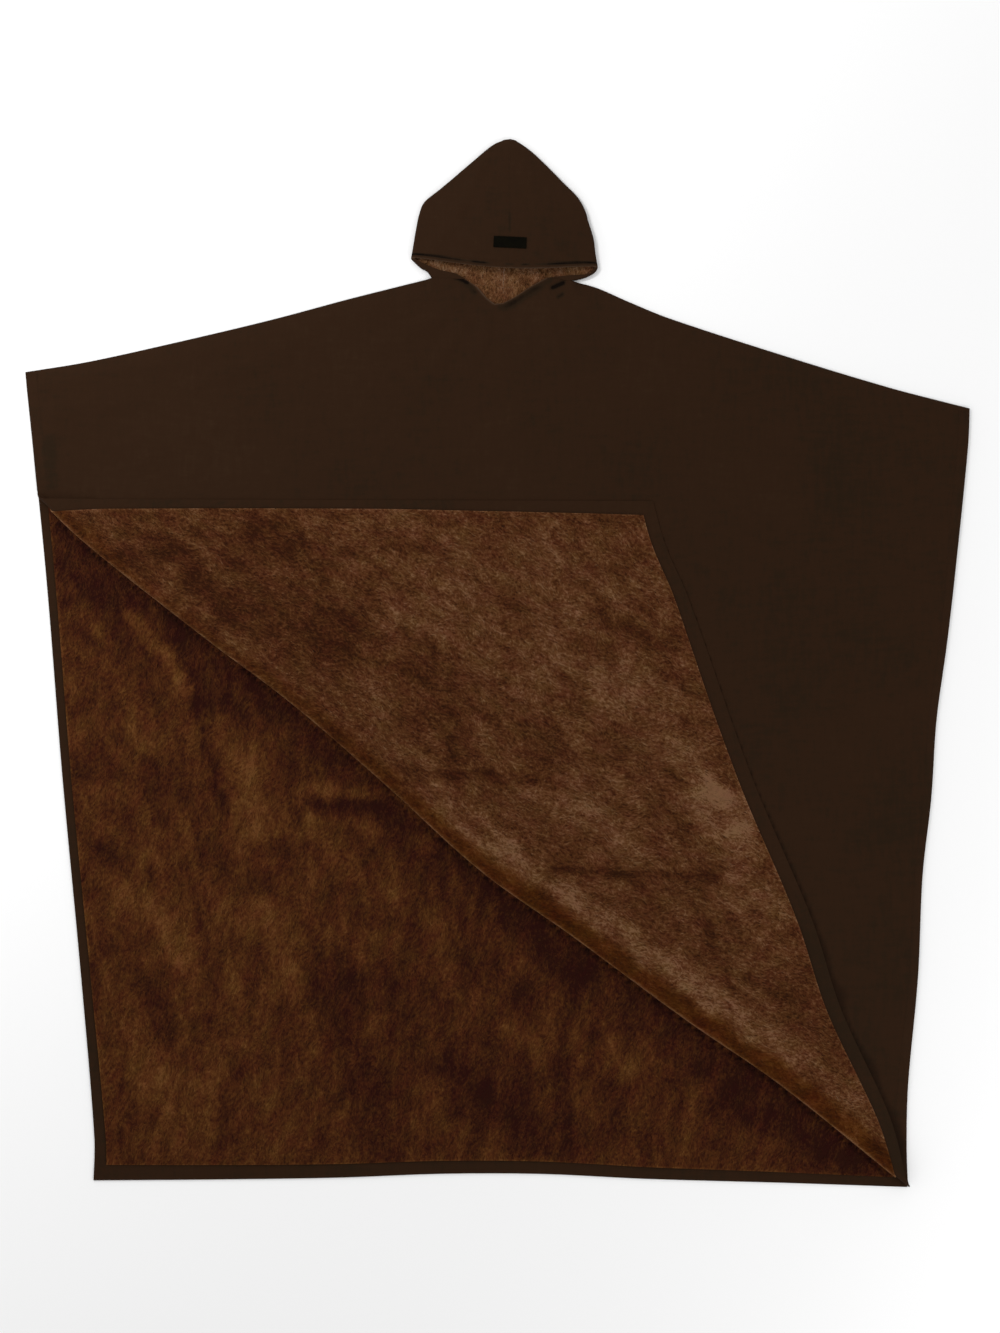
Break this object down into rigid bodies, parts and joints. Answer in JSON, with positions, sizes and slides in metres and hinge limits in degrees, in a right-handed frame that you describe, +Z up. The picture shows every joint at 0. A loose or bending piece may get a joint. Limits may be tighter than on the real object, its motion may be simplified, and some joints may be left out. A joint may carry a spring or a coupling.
{
  "type": "hooded cape",
  "caption": "Pull-over hooded cape with a plush lining, laid flat with the front's lower corner turned up over the front.",
  "frame": {"origin": "bottom centre of the bounding box, on the surface that the cape lies on", "axes": "+Z up from the surface, +Y from the hem towards the hood's peak, +X to the right in the picture"},
  "size_m": [1.5002, 1.6643, 0.03],
  "materials": {
    "shell": "smooth matt dark brown woven cloth",
    "plush": "short crushed brown plush",
    "patch": "plain near-black woven tape"
  },
  "bodies": {
    "root": {"back_shell": "shell", "back_lining": "plush", "back_edge_facing": "shell", "front_shell": "shell", "front_lining": "plush", "front_edge_facing": "shell", "hood_left_shell": "shell", "hood_right_shell": "shell", "hood_left_lining": "plush", "hood_right_lining": "plush", "blank_patch": "patch"}
  },
  "joints": []
}
